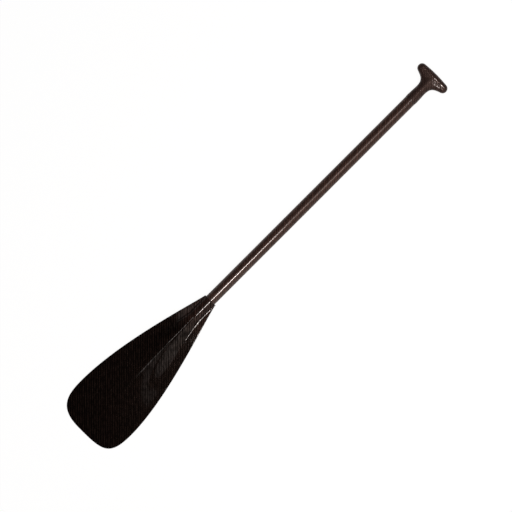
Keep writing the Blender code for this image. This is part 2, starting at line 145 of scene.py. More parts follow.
# How finely the surfaces are divided, how closely curves are solved, and which edges stay sharp
ROUNDING_ERROR = 1e-6
SHARE_ERROR = 1e-8
FOOT_ROUNDS = 3
WELD_DISTANCE = 2e-7
SHARP_ANGLE = math.radians(35)
THROAT_STEPS = 3
BEAD_STEPS = 5
NECK_RIBS = 24
THROAT_RIBS = 30
BAR_RIBS = 24
HORN_RIBS = 40
RIB_STEPS = 22
SEAM_STEPS = 3
CROWN_COLUMNS = 22
WING_COLUMNS = (
    0.01, 0.02, 0.035, 0.055, 0.08, 0.11, 0.15, 0.2, 0.27,
    0.35, 0.45, 0.56, 0.68, 0.8, 0.91, 0.98, 1.0,
)
RIM_STEPS = 5
LEAST_CROWN_SHARE = 0.33
MOST_CROWN_SHARE = 0.9
SOCKET_ROWS = 16
BODY_ROWS = 84
BODY_CROWDING = 1.3
TIP_ROWS = 56
TUBE_STEPS = 128
TUBE_ROWS = 24

# Places that follow from the sizes
THROAT_X = BLADE_LENGTH - PADDLE_LENGTH / 2
TUBE_END_X = THROAT_X - SOCKET_LENGTH
GRIP_X = PADDLE_LENGTH / 2 - GRIP_LENGTH
BAR_ALONG = GRIP_LENGTH - GRIP_TOP_CROWN - GRIP_HORN_RADIUS
HORN_ACROSS = GRIP_HALF_WIDTH - GRIP_HORN_RADIUS
HORN = Vector((BAR_ALONG, HORN_ACROSS))
TUBE_LOW, TUBE_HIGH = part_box("shaft_tube")
AXIS_Z = (TUBE_LOW.z + TUBE_HIGH.z) / 2


def mix(a, b, share):
    return a + (b - a) * share


def smooth_step(share):
    share = min(max(share, 0.0), 1.0)
    return share * share * (3 - 2 * share)


def smooth_max(a, b, blend):
    near = max(blend - abs(a - b), 0.0) / blend
    return max(a, b) + near * near * blend / 4


def bezier(points, share):
    """Position and direction on a cubic Bezier curve."""
    a, b, c, d = (Vector(point) for point in points)
    ab, bc, cd = a.lerp(b, share), b.lerp(c, share), c.lerp(d, share)
    abc, bcd = ab.lerp(bc, share), bc.lerp(cd, share)
    return abc.lerp(bcd, share), (bcd - abc).normalized()


class Edge:
    """One side of the blade's outline: a curve to the widest point, and one on to the tip."""

    def __init__(self, sign, size):
        half_width = size["half_width"]
        throat_rise = size["throat_slope"] * THROAT_REACH
        self.sign = sign
        self.widest = BLADE_LENGTH - size["widest_from_tip"]
        self.shoulder = (
            (0.0, THROAT_HALF_WIDTH),
            (THROAT_REACH, THROAT_HALF_WIDTH + throat_rise),
            (self.widest - size["shoulder_reach"], half_width),
            (self.widest, half_width),
        )
        self.corner = (
            (self.widest, half_width),
            (self.widest + size["corner_reach"], half_width),
            (BLADE_LENGTH, TIP_FLAT / 2 + size["tip_reach"]),
            (BLADE_LENGTH, TIP_FLAT / 2),
        )

    def point(self, share, inset=0.0):
        """(distance, half-width) at a share from 0 at the throat to 2 at the tip, moved in by the inset."""
        if share <= 1:
            place, direction = bezier(self.shoulder, share)
        else:
            place, direction = bezier(self.corner, share - 1)
        return place + inset * Vector((direction.y, -direction.x))

    @functools.lru_cache(maxsize=None)
    def share_at(self, distance, inset=0.0):
        """The share at which the outline, moved in by the inset, reaches a distance."""
        if distance > self.point(2.0, inset).x - ROUNDING_ERROR:
            return 2.0
        low, high = 0.0, 2.0
        while high - low > SHARE_ERROR:
            middle = (low + high) / 2
            if self.point(middle, inset).x < distance:
                low = middle
            else:
                high = middle
        return high

    @functools.lru_cache(maxsize=None)
    def half_width(self, distance):
        return self.point(self.share_at(distance)).y

    def rim_place(self, distance, inset):
        """A point near the rim: at the inset from the outline, on the line out of the row at a distance."""
        if distance <= self.widest:
            return Vector((distance, self.half_width(distance) - inset))
        return self.point(self.share_at(distance, SKIN_THICKNESS), inset)


LEFT = Edge(1, LEFT_EDGE)
RIGHT = Edge(-1, RIGHT_EDGE)


def fullness(distance):
    return smooth_step(distance / FULL_WITHIN) * (1 - (distance / BLADE_LENGTH) ** TIP_THINNING)


def spine_arc(face, distance):
    """(radius, crest height) of the round spine: the socket's own over the tube, then wider and lower."""
    past = max(distance - SOCKET_LENGTH, 0.0)
    return SOCKET_RADIUS * math.exp(face["crown_growth"] * past), SOCKET_RADIUS - face["spine_fall"] * past


def runout(face, distance, y):
    """The thin edge of cloth where the socket's flank runs out on the wing, eased at both of its ends."""
    radius, crest = spine_arc(face, distance)
    foot = math.sqrt(max(radius**2 - (radius - crest + EDGE_THICKNESS) ** 2, 0.0))
    easing = smooth_step(distance / RUNOUT_EASE) * smooth_step((RUNOUT_END - distance) / RUNOUT_EASE)
    return RUNOUT_HEIGHT * easing * math.exp(-max(abs(y) - foot - RUNOUT_FLAT, 0.0) / RUNOUT_WIDTH)


def wing_height(face, distance, y):
    """Height of a face beside the spine: thin at the edges, with a ridge or a crown along the middle."""
    edge = LEFT if y >= 0 else RIGHT
    across = min(abs(y) / edge.half_width(distance), 1.0)
    soft = face["ridge_softness"]
    ridge = (math.hypot(1, soft) - math.hypot(across, soft)) / (math.hypot(1, soft) - soft)
    rise = face["centre_thickness"] - EDGE_THICKNESS / 2
    return EDGE_THICKNESS / 2 + rise * fullness(distance) * ridge + runout(face, distance, y)


def face_height(face, distance, y, depth):
    """Height of a layer over the blade's middle surface, at a depth under the outside."""
    radius, crest = spine_arc(face, distance)
    radius, crest = radius - depth, crest - depth
    beyond = BEYOND_ARC_SLOPE * max(abs(y) - radius, 0.0)
    arc = crest - radius + math.sqrt(max(radius**2 - y**2, 0.0)) - beyond
    soft = smooth_step((distance - SOCKET_LENGTH) / VALLEY_SOFTENS_IN)
    return smooth_max(wing_height(face, distance, y) - depth, arc, mix(VALLEY_SHARP, VALLEY_SOFT, soft))


def middle_height(distance, y):
    share = max(distance - SOCKET_LENGTH, 0.0) / (BLADE_LENGTH - SOCKET_LENGTH)
    return -SPOON_DEPTH * share**2 - y**2 / (2 * CAMBER_RADIUS)


def blade_point(face, distance, y, depth):
    z = AXIS_Z + middle_height(distance, y) + face["side"] * face_height(face, distance, y, depth)
    return Vector((THROAT_X - distance, y, z))


def spine_foot(face, distance, edge):
    """Where the spine's arc comes down to the wing, or a third of the width once the spine has run out."""
    radius, crest = spine_arc(face, distance)
    foot = 0.0
    for _ in range(FOOT_ROUNDS):
        rise = max(crest - wing_height(face, distance, edge.sign * foot), 0.0)
        foot = math.sqrt(max(radius**2 - (radius - rise) ** 2, 0.0))
    half_width = edge.half_width(distance)
    return min(max(foot, LEAST_CROWN_SHARE * half_width), MOST_CROWN_SHARE * half_width)


def columns(face, distance, edge, outer):
    """Distances across one side, from next to the middle out to the start of the rounded rim."""
    radius, _ = spine_arc(face, distance)
    foot = min(spine_foot(face, distance, edge), MOST_CROWN_SHARE * outer)
    reach = math.asin(min(foot / radius, 1.0))
    crown = [radius * math.sin(reach * k / CROWN_COLUMNS) for k in range(1, CROWN_COLUMNS + 1)]
    return crown + [mix(crown[-1], outer, share) for share in WING_COLUMNS]


def blade_stations():
    """Distances of the rows between the throat's rounded end and the tip's rounded rim."""
    places = [mix(THROAT_FILLET, SOCKET_LENGTH, k / SOCKET_ROWS) for k in range(SOCKET_ROWS)]
    for k in range(BODY_ROWS):
        places.append(mix(SOCKET_LENGTH, RIGHT.widest, (k / BODY_ROWS) ** BODY_CROWDING))
    for k in range(TIP_ROWS):
        places.append(RIGHT.point(1 + k / TIP_ROWS, SKIN_THICKNESS).x)
    return places + [BLADE_LENGTH - SKIN_THICKNESS]


def rounding(radius, steps):
    """(inset, drop) pairs round a quarter turn, from the top of a rounded edge to its outermost point."""
    turns = [math.pi / 2 * k / steps for k in range(steps + 1)]
    return [(radius * (1 - math.sin(turn)), radius * (1 - math.cos(turn))) for turn in turns]


RIM = rounding(SKIN_THICKNESS, RIM_STEPS)
STATIONS = blade_stations()
LOWER_NOSE = tuple((inset, -level) for inset, level in BAND_NOSE[-2::-1])
BAND_OUTLINE = BAND_NOSE + LOWER_NOSE + ((BAND_WIDTH, -1.0), (BAND_WIDTH, 1.0))


def half_row(face, distance, edge, depth):
    """A row's points on one side, from next to the middle out to the rim, where an outer row rounds over."""
    start = edge.rim_place(distance, SKIN_THICKNESS)
    places = [Vector((distance, y)) for y in columns(face, distance, edge, start.y)]
    places[-1] = start
    places += [edge.rim_place(distance, inset) for inset, _ in RIM[1:]]
    drops = [0.0] * (len(places) - RIM_STEPS) + [drop for _, drop in RIM[1:]]
    points = []
    for place, drop in zip(places, drops):
        under = min(depth + drop, SKIN_THICKNESS)
        points.append(blade_point(face, place.x, edge.sign * place.y, under))
    return points


def row_across(face, distance, depth):
    """One row of a skin's surface from rim to rim, at a depth under the outside."""
    middle = blade_point(face, distance, 0.0, depth)
    return half_row(face, distance, RIGHT, depth)[::-1] + [middle] + half_row(face, distance, LEFT, depth)


def tip_rows(face, depth):
    """Rows that round the straight middle of the tip, over the last row's inner columns."""
    last = STATIONS[-1]
    right = columns(face, last, RIGHT, RIGHT.rim_place(last, SKIN_THICKNESS).y)
    left = columns(face, last, LEFT, LEFT.rim_place(last, SKIN_THICKNESS).y)
    across = [-y for y in reversed(right)] + [0.0] + left
    rows = []
    for inset, drop in RIM:
        under = min(depth + drop, SKIN_THICKNESS)
        rows.append([blade_point(face, BLADE_LENGTH - inset, y, under) for y in across])
    return rows


def join(shape, first, second):
    """A strip of faces between two lines of vertices."""
    faces = []
    for k in range(len(first) - 1):
        faces.append(shape.faces.new((first[k], first[k + 1], second[k + 1], second[k])))
    return faces


def join_rings(shape, first, second):
    """A closed band of faces between two rings of vertices."""
    join(shape, first + first[:1], second + second[:1])


def add_grid(shape, rows):
    grid = [[shape.verts.new(point) for point in row] for row in rows]
    for row, following in zip(grid, grid[1:]):
        join(shape, row, following)
    return grid


def new_object(name, shape, material):
    mesh = bpy.data.meshes.new(name)
    shape.to_mesh(mesh)
    shape.free()
    mesh.materials.append(material)
    obj = bpy.data.objects.new(name, mesh)
    bpy.context.scene.collection.objects.link(obj)
    return obj


def piece(name, shape, material, weave=None):
    """Finishes a mesh as a smooth closed piece. weave gives each point's place in the cloth, in metres."""
    bmesh.ops.remove_doubles(shape, verts=shape.verts, dist=WELD_DISTANCE)
    bmesh.ops.dissolve_degenerate(shape, dist=WELD_DISTANCE, edges=shape.edges)
    bmesh.ops.recalc_face_normals(shape, faces=shape.faces)
    if weave:
        layer = shape.loops.layers.uv.new("weave")
        for face in shape.faces:
            for loop in face.loops:
                loop[layer].uv = weave(loop.vert.co, face)
    obj = new_object(name, shape, material)
    obj.data.shade_smooth()
    obj.data.set_sharp_from_angle(angle=SHARP_ANGLE)
    return obj


def flat_weave(co, face):
    """Cloth laid straight down over the blade."""
    return co.x, co.y


def round_weave(co, face):
    """Cloth wrapped round the shaft's axis. Its seam is underneath, and whole tows meet there."""
    middle = face.calc_center_median()
    turn = math.atan2(middle.y, middle.z - AXIS_Z)
    own = math.atan2(co.y, co.z - AXIS_Z)
    own += 2 * math.pi * round((turn - own) / (2 * math.pi))
    return co.x, own / (2 * math.pi) * TOWS_ROUND_SHAFT * TOW


def blade_skin(face, material):
    """One carbon skin with its thickness, a rounded rim, and an eased end at the throat."""
    shape = bmesh.new()
    rows = rounding(THROAT_FILLET, THROAT_STEPS)[:0:-1] + [(distance, 0.0) for distance in STATIONS]
    top = add_grid(shape, [row_across(face, distance, drop) for distance, drop in rows])
    bottom = add_grid(shape, [row_across(face, distance, SKIN_THICKNESS) for distance, _ in rows])
    join(shape, top[0], bottom[0])
    add_grid(shape, tip_rows(face, 0.0))
    add_grid(shape, tip_rows(face, SKIN_THICKNESS))
    return piece("shown_" + face["name"], shape, material, flat_weave)


def band_section(edge, distance):
    """The band's outline at a distance: a rounded nose at the rim, and a flat back inside the blade."""
    depth = SKIN_THICKNESS + SEAM_GAP
    clear_of_tube = SHAFT_RADIUS + GLUE_GAP if distance <= SOCKET_LENGTH else 0.0
    points = []
    for inset, level in BAND_OUTLINE:
        place = edge.rim_place(distance, inset)
        y = edge.sign * max(place.y, clear_of_tube)
        upper = blade_point(BACK, place.x, y, depth)
        lower = blade_point(POWER, place.x, y, depth)
        points.append(lower.lerp(upper, (level + 1) / 2))
    return points


def edge_trim(material):
    """The resin band between the skins, which shows as a fine line round the blade's rim."""
    shape = bmesh.new()
    distances = [0.0] + STATIONS
    sections = [band_section(LEFT, distance) for distance in distances]
    sections += [band_section(RIGHT, distance) for distance in reversed(distances)]
    rings = [[shape.verts.new(point) for point in section] for section in sections]
    for ring, following in zip(rings, rings[1:]):
        join_rings(shape, ring, following)
    shape.faces.new(rings[0])
    shape.faces.new(rings[-1][::-1])
    return piece("shown_edge_band", shape, material, flat_weave)


def turned(name, profile, material):
    """A closed profile of (x, radius) points spun round the shaft's axis."""
    shape = bmesh.new()
    turns = [2 * math.pi * k / TUBE_STEPS for k in range(TUBE_STEPS)]
    rings = []
    for x, radius in profile:
        points = [(x, radius * math.cos(turn), AXIS_Z + radius * math.sin(turn)) for turn in turns]
        rings.append([shape.verts.new(point) for point in points])
    for ring, following in zip(rings, rings[1:] + rings[:1]):
        join_rings(shape, ring, following)
    return piece(name, shape, material, round_weave)


def shaft_profile():
    start, end = TUBE_END_X, GRIP_X
    bore = SHAFT_RADIUS - SHAFT_WALL
    outside = [(mix(start, end, k / TUBE_ROWS), SHAFT_RADIUS) for k in range(TUBE_ROWS + 1)]
    return outside + [(end, bore), (start, bore)]


def bead_profile(x, toward, reach):
    """A small fillet of resin round the shaft, against a shoulder at x and up to a radius of reach.

    toward is the way along X that the shoulder faces, 1 or -1.
    """
    points = [(x, SHAFT_RADIUS - GLUE_GAP), (x, reach)]
    for k in range(1, BEAD_STEPS):
        turn = math.pi / 2 * k / BEAD_STEPS
        along = x + toward * BEAD_WIDTH * (1 - math.cos(turn))
        points.append((along, SHAFT_RADIUS + (reach - SHAFT_RADIUS) * (1 - math.sin(turn))))
    points.append((x + toward * BEAD_WIDTH, SHAFT_RADIUS - GLUE_GAP))
    return points


def neck_radius(along):
    if along < GRIP_COLLAR_AT:
        short = (GRIP_COLLAR_AT - along) / GRIP_COLLAR_AT
        return mix(GRIP_COLLAR_RADIUS, GRIP_JOINT_RADIUS, short**2)
    share = (along - GRIP_COLLAR_AT) / (GRIP_WAIST_AT - GRIP_COLLAR_AT)
    return mix(GRIP_COLLAR_RADIUS, GRIP_WAIST_RADIUS, smooth_step(share))


def bar_half_thickness(across):
    return mix(GRIP_MIDDLE_THICKNESS, GRIP_HORN_THICKNESS, smooth_step(across / HORN_ACROSS)) / 2


def flare_curve():
    """The concave outline from the waist to the horn, as a Bezier curve that meets both smoothly."""
    normal = Vector((math.cos(FLARE_END_ANGLE), math.sin(FLARE_END_ANGLE)))
    end = HORN + GRIP_HORN_RADIUS * normal
    return (
        (GRIP_WAIST_AT, GRIP_WAIST_RADIUS),
        (GRIP_WAIST_AT + FLARE_WAIST_REACH, GRIP_WAIST_RADIUS),
        end - FLARE_HORN_REACH * Vector((normal.y, -normal.x)),
        end,
    )


def grip_ribs():
    """Half of the grip as ribs from its middle line out to its outline, from the joint round to the top.

    Each rib is its foot, its tip, and half of the grip's thickness at its foot.
    """
    flare = flare_curve()
    split = FLARE_SHARE_BEFORE_BAR
    ribs = []
    for k in range(NECK_RIBS):
        along = mix(GLUE_GAP, GRIP_WAIST_AT, k / NECK_RIBS)
        radius = neck_radius(along)
        ribs.append((Vector((along, 0.0)), Vector((along, radius)), radius))
    for k in range(THROAT_RIBS):
        share = k / THROAT_RIBS
        tip, _ = bezier(flare, split * share)
        thick = mix(GRIP_WAIST_RADIUS, GRIP_MIDDLE_THICKNESS / 2, smooth_step(share))
        ribs.append((Vector((mix(GRIP_WAIST_AT, BAR_ALONG, share), 0.0)), tip, thick))
    for k in range(BAR_RIBS):
        across = HORN_ACROSS * k / BAR_RIBS
        tip, _ = bezier(flare, mix(split, 1.0, k / BAR_RIBS))
        ribs.append((Vector((BAR_ALONG, across)), tip, bar_half_thickness(across)))
    for k in range(HORN_RIBS + 1):
        turn = mix(FLARE_END_ANGLE, TOP_END_ANGLE, k / HORN_RIBS)
        tip = HORN + GRIP_HORN_RADIUS * Vector((math.cos(turn), math.sin(turn)))
        ribs.append((HORN, tip, bar_half_thickness(HORN_ACROSS)))
    for k in range(1, BAR_RIBS + 1):
        across = HORN_ACROSS * (BAR_RIBS - k) / BAR_RIBS
        top = GRIP_LENGTH - GRIP_TOP_CROWN * (across / HORN_ACROSS) ** 2
        ribs.append((Vector((BAR_ALONG, across)), Vector((top, across)), bar_half_thickness(across)))
    return ribs


def grip_section(foot, tip, thick, inset):
    """(across, height) steps of one rib from its foot to the parting line, outside or inside of the wall."""
    length = (tip - foot).length - inset
    row = []
    for k in range(RIB_STEPS + 1):
        turn = math.pi / 2 * k / RIB_STEPS
        row.append((length * math.sin(turn), mix(SHELL_LIP, thick - inset, math.cos(turn))))
    if inset:
        shares = [k / (SEAM_STEPS + 1) for k in range(1, SEAM_STEPS + 2)]
        return row + [(length, mix(SHELL_LIP, SEAM_GAP, share)) for share in shares]
    return row + [(length - lean, SEAM_GAP + rise) for rise, lean in rounding(SEAM_FILLET, SEAM_STEPS)]


def grip_surface(shape, layer, side, sign, inset):
    """A quarter of the grip's outside or inside, with the cloth laid out flat from its middle line."""
    rows = []
    places = {}
    for foot, tip, thick in grip_ribs():
        out = (tip - foot).normalized()
        row, spread, before = [], 0.0, None
        for across, height in grip_section(foot, tip, thick, inset):
            place = foot + across * out
            vert = shape.verts.new((GRIP_X + place.x, sign * place.y, AXIS_Z + side * height))
            if before:
                spread += math.hypot(across - before[0], height - before[1])
            before = (across, height)
            unrolled = foot + spread * out
            places[vert] = (GRIP_X + unrolled.x, sign * unrolled.y)
            row.append(vert)
        rows.append(row)
    for row, following in zip(rows, rows[1:]):
        for face in join(shape, row, following):
            for loop in face.loops:
                loop[layer].uv = places[loop.vert]
    return rows


def grip_shell(name, side, material):
    """One half of the grip with its wall, with a fine groove at the parting line."""
    shape = bmesh.new()
    layer = shape.loops.layers.uv.new("weave")
    for sign in (1, -1):
        outer = grip_surface(shape, layer, side, sign, 0.0)
        inner = grip_surface(shape, layer, side, sign, GRIP_WALL)
        join(shape, outer[0], inner[0])
        join(shape, [row[-1] for row in outer], [row[-1] for row in inner])
    return piece("shown_" + name, shape, material)


# Colours of the cloth: the tows along, the tows across, and the gaps. The tows along are far lighter than the
# tows across, a painted sheen for the light that tows along catch.
BLADE_COLOURS = ((0.0108, 0.0064, 0.0052), (0.0005, 0.0004, 0.0003), (0.0002, 0.0001, 0.0001))
# Lighter, browner colours of the cloth at the throat: a painted sheen on the throat's flanks
THROAT_SHEEN_COLOURS = ((0.030, 0.015, 0.012), (0.010, 0.005, 0.004), (0.003, 0.0015, 0.001))
SHAFT_COLOURS = ((0.052, 0.028, 0.022), (0.016, 0.008, 0.006), (0.007, 0.0035, 0.0025))
GRIP_COLOURS = ((0.034, 0.019, 0.017), (0.010, 0.0055, 0.005), (0.005, 0.0025, 0.002))
# Where along X the painted sheen at the throat fades in
THROAT_SHEEN_FROM, THROAT_SHEEN_TO = -0.31, -0.245
CLOTH_TINT = (1.0, 0.72, 0.63, 1.0)
ROUGHNESS_ALONG, ROUGHNESS_ACROSS = 0.28, 0.48

# How the tows lie: how far they wander, how square their sides are, how much they dip at crossings, and
# how their fibres show
WANDER_SCALE = 22.0
WANDER_IN_TOWS = 0.6
TOW_SQUARENESS = 2.5
CROSSING_DIP = 0.6
GAP_HUMP = 0.5
GAP_DARKENING = 0.9
FIBRES_PER_METRE = 9000.0
FIBRE_CONTRAST = 0.20
FIBRE_DARKENING = 0.3

# The broken diagonal ribs of the twill, and larger patches that are a little darker and rougher
RIB_LENGTHWISE, RIB_CROSSWISE = 45.0, 120.0
RIB_CONTRAST = 0.10
RIB_DARKENING = 0.75
ROUGHER_BETWEEN_RIBS, SMOOTHER_ON_RIBS = 0.10, -0.04
PATCH_SCALE = 14.0
PATCH_COLOUR_CONTRAST, PATCH_DARKENING = 0.15, 0.12
PATCH_GLOSS_CONTRAST, PATCH_ROUGHNESS = 0.20, 0.03

# The clear coat is glossy on the blade and the grip, and thins out to satin along the shaft. It fades
# where a surface turns away from the eye, which keeps the sides of the shaft and the grip dark.
COAT_FULL_TO, COAT_THIN_FROM = -0.14, 0.12
COAT_THIN = 0.30
COAT_FADES_FROM, COAT_FADES_TO = 0.18, 0.42
COAT_FADED = 0.05

# The plainer materials: the mottle of resin, paste and plastic, the cells of foam, and the lines of fibre
MOTTLE_COLOUR_CONTRAST = 0.15
MOTTLE_GLOSS_CONTRAST, MOTTLE_ROUGHNESS = 0.20, 0.05
CELLS_PER_METRE = 900.0
CELL_MIDDLE, CELL_WALL = 0.1, 0.7
CELL_ROUGHNESS, CELL_WALL_ROUGHNESS = 0.95, 0.8
CELL_DEPTH = 0.0002
LINES_ALONG, LINES_ACROSS = 12.0, 2500.0
LINE_CONTRAST = 0.20
LINE_ROUGHNESS, BETWEEN_LINES_ROUGHNESS = 0.38, 0.5
LINE_DEPTH = 0.00005

# A noise texture's values lie round this one
NOISE_MIDDLE = 0.5


class Nodes:
    """A node tree with short ways to add the nodes that the materials use."""

    def __init__(self, tree):
        self.tree = tree
        tree.nodes.clear()

    def add(self, kind, **settings):
        node = self.tree.nodes.new(kind)
        for name, value in settings.items():
            setattr(node, name, value)
        return node

    def put(self, socket, value):
        if isinstance(value, bpy.types.NodeSocket):
            self.tree.links.new(value, socket)
        else:
            socket.default_value = value

    def split(self, vector):
        node = self.add("ShaderNodeSeparateXYZ")
        self.put(node.inputs[0], vector)
        return node.outputs

    def combine(self, x, y):
        node = self.add("ShaderNodeCombineXYZ")
        self.put(node.inputs["X"], x)
        self.put(node.inputs["Y"], y)
        return node.outputs[0]

    def math(self, operation, *values):
        node = self.add("ShaderNodeMath", operation=operation)
        for socket, value in zip(node.inputs, values):
            self.put(socket, value)
        return node.outputs[0]

    def colours(self, share, a, b):
        node = self.add("ShaderNodeMix", data_type="RGBA")
        self.put(node.inputs["Factor"], share)
        self.put(node.inputs["A"], (*a, 1.0) if isinstance(a, tuple) else a)
        self.put(node.inputs["B"], (*b, 1.0) if isinstance(b, tuple) else b)
        return node.outputs["Result"]

    def blend(self, share, a, b):
        node = self.add("ShaderNodeMix", data_type="FLOAT")
        self.put(node.inputs["Factor"], share)
        self.put(node.inputs["A"], a)
        self.put(node.inputs["B"], b)
        return node.outputs["Result"]

    def noise(self, vector, scale, detail):
        node = self.add("ShaderNodeTexNoise")
        self.put(node.inputs["Vector"], vector)
        node.inputs["Scale"].default_value = scale
        node.inputs["Detail"].default_value = detail
        return node.outputs["Fac"]

    def ramp(self, value, low, high, to_low=0.0, to_high=1.0, smooth=False):
        node = self.add("ShaderNodeMapRange", interpolation_type="SMOOTHSTEP" if smooth else "LINEAR")
        for socket, given in zip(node.inputs[:5], (value, low, high, to_low, to_high)):
            self.put(socket, given)
        return node.outputs["Result"]

    def stretch(self, noise, contrast, to_low=0.0, to_high=1.0):
        """Spreads the part of a noise that is within the contrast of its middle over a whole range."""
        return self.ramp(noise, NOISE_MIDDLE - contrast, NOISE_MIDDLE + contrast, to_low, to_high)

    def bump(self, height, distance):
        node = self.add("ShaderNodeBump")
        node.inputs["Strength"].default_value = 1.0
        node.inputs["Distance"].default_value = distance
        self.put(node.inputs["Height"], height)
        return node.outputs[0]

    def surface(self, **values):
        """Adds the shader and its output. Values are named like its sockets, with underscores for spaces."""
        shader = self.add("ShaderNodeBsdfPrincipled")
        for name, value in values.items():
            self.put(shader.inputs[name.replace("_", " ")], value)
        self.put(self.add("ShaderNodeOutputMaterial").inputs["Surface"], shader.outputs[0])


def new_material(name):
    material = bpy.data.materials.new(name)
    material.use_nodes = True
    return material, Nodes(material.node_tree)


def twill(nodes):
    """The cloth on the weave map: whether a tow along is on top, its hump, its fibres, and the ribs."""
    place = nodes.add("ShaderNodeUVMap", uv_map="weave").outputs[0]
    x, y, _ = nodes.split(place)
    wander = nodes.noise(place, WANDER_SCALE, detail=1.0)
    drift = nodes.math("MULTIPLY", nodes.math("SUBTRACT", wander, NOISE_MIDDLE), WANDER_IN_TOWS)
    along = nodes.math("ADD", nodes.math("DIVIDE", x, TOW), drift)
    across = nodes.math("ADD", nodes.math("DIVIDE", y, TOW), drift)
    column = nodes.math("FLOOR", along)
    row = nodes.math("FLOOR", across)
    in_column = nodes.math("FRACT", along)
    in_row = nodes.math("FRACT", across)
    step = nodes.math("FLOORED_MODULO", nodes.math("SUBTRACT", column, row), 2 * TOWS_PASSED)
    lengthwise = nodes.math("LESS_THAN", step, TOWS_PASSED - 0.5)
    steps_left = nodes.math("SUBTRACT", 2 * TOWS_PASSED - 1, step)
    run_along = nodes.math("DIVIDE", nodes.math("ADD", step, in_column), TOWS_PASSED)
    run_across = nodes.math("DIVIDE", nodes.math("ADD", steps_left, in_row), TOWS_PASSED)
    run = nodes.blend(lengthwise, run_across, run_along)
    side = nodes.blend(lengthwise, in_column, in_row)
    from_middle = nodes.math("ABSOLUTE", nodes.math("MULTIPLY_ADD", side, 2.0, -1.0))
    round_side = nodes.math("SUBTRACT", 1.0, nodes.math("POWER", from_middle, TOW_SQUARENESS))
    round_run = nodes.math("SINE", nodes.math("MULTIPLY", run, math.pi))
    height = nodes.math("MULTIPLY_ADD", round_run, CROSSING_DIP, 1.0 - CROSSING_DIP)
    hump = nodes.math("MULTIPLY", round_side, height)
    across_fibres = nodes.math("MULTIPLY", nodes.blend(lengthwise, x, y), FIBRES_PER_METRE)
    own_tow = nodes.blend(lengthwise, column, row)
    fibres = nodes.noise(nodes.combine(across_fibres, own_tow), 1.0, detail=2.0)
    down_rib = nodes.math("MULTIPLY", nodes.math("ADD", x, y), RIB_LENGTHWISE)
    across_ribs = nodes.math("MULTIPLY", nodes.math("SUBTRACT", x, y), RIB_CROSSWISE)
    ribs = nodes.noise(nodes.combine(down_rib, across_ribs), 1.0, detail=2.0)
    return lengthwise, hump, fibres, ribs


def carbon(name, colours, gloss, relief, coat, lean_coat, coat_roughness, throat_sheen_colours=None, thinned=False):
    """Woven carbon under a clear coat. The cloth may turn lighter and browner at the throat, which is a
    painted sheen.

    gloss is the cloth's own specular level, and relief is how far its tows stand up. The coat has a weight,
    a share of it that is left on lean places, which are the tows across and the dips between the ribs, and
    a roughness. It may be thinned along the shaft.
    """
    material, nodes = new_material(name)
    position = nodes.add("ShaderNodeTexCoord").outputs["Object"]
    x, _, _ = nodes.split(position)
    # Painted sheen: the colours turn lighter and browner towards the throat
    if throat_sheen_colours:
        throat_sheen = nodes.ramp(x, THROAT_SHEEN_FROM, THROAT_SHEEN_TO, smooth=True)
        colours = [nodes.colours(throat_sheen, a, b) for a, b in zip(colours, throat_sheen_colours)]
    sheen_along_colour, across_colour, gap = colours
    lengthwise, hump, fibres, ribs = twill(nodes)
    patches = nodes.noise(position, PATCH_SCALE, detail=3.0)

    # The tows along take the lighter colour, which is a painted sheen
    shade = nodes.colours(lengthwise, across_colour, sheen_along_colour)
    shade = nodes.colours(nodes.stretch(ribs, RIB_CONTRAST, RIB_DARKENING, 0.0), shade, gap)
    shade = nodes.colours(nodes.stretch(fibres, FIBRE_CONTRAST, FIBRE_DARKENING, 0.0), shade, gap)
    shade = nodes.colours(nodes.ramp(hump, 0.0, GAP_HUMP, GAP_DARKENING, 0.0), shade, gap)
    shade = nodes.colours(nodes.stretch(patches, PATCH_COLOUR_CONTRAST, 0.0, PATCH_DARKENING), shade, gap)

    rough = nodes.blend(lengthwise, ROUGHNESS_ACROSS, ROUGHNESS_ALONG)
    by_rib = nodes.stretch(ribs, RIB_CONTRAST, ROUGHER_BETWEEN_RIBS, SMOOTHER_ON_RIBS)
    by_patch = nodes.stretch(patches, PATCH_GLOSS_CONTRAST, -PATCH_ROUGHNESS, PATCH_ROUGHNESS)
    rough = nodes.math("ADD", nodes.math("ADD", rough, by_rib), by_patch)

    grazing = nodes.add("ShaderNodeLayerWeight").outputs["Facing"]
    weight = nodes.ramp(grazing, COAT_FADES_FROM, COAT_FADES_TO, coat, COAT_FADED)
    weight = nodes.math("MULTIPLY", weight, nodes.blend(lengthwise, lean_coat, 1.0))
    weight = nodes.math("MULTIPLY", weight, nodes.stretch(ribs, RIB_CONTRAST, lean_coat, 1.0))
    if thinned:
        thinning = nodes.ramp(x, COAT_FULL_TO, COAT_THIN_FROM, 1.0, COAT_THIN, smooth=True)
        weight = nodes.math("MULTIPLY", weight, thinning)

    nodes.surface(
        Base_Color=shade,
        Roughness=rough,
        Normal=nodes.bump(hump, relief),
        Specular_IOR_Level=gloss,
        Specular_Tint=CLOTH_TINT,
        Coat_Weight=weight,
        Coat_Roughness=coat_roughness,
    )
    return material


def plain(name, colour, darker, roughness, scale, relief):
    """A plain moulded or poured material, with a fine mottle in its colour, gloss and surface."""
    material, nodes = new_material(name)
    position = nodes.add("ShaderNodeTexCoord").outputs["Object"]
    mottle = nodes.noise(position, scale, detail=4.0)
    least, most = roughness - MOTTLE_ROUGHNESS, roughness + MOTTLE_ROUGHNESS
    nodes.surface(
        Base_Color=nodes.colours(nodes.stretch(mottle, MOTTLE_COLOUR_CONTRAST), darker, colour),
        Roughness=nodes.stretch(mottle, MOTTLE_GLOSS_CONTRAST, least, most),
        Normal=nodes.bump(mottle, relief),
    )
    return material


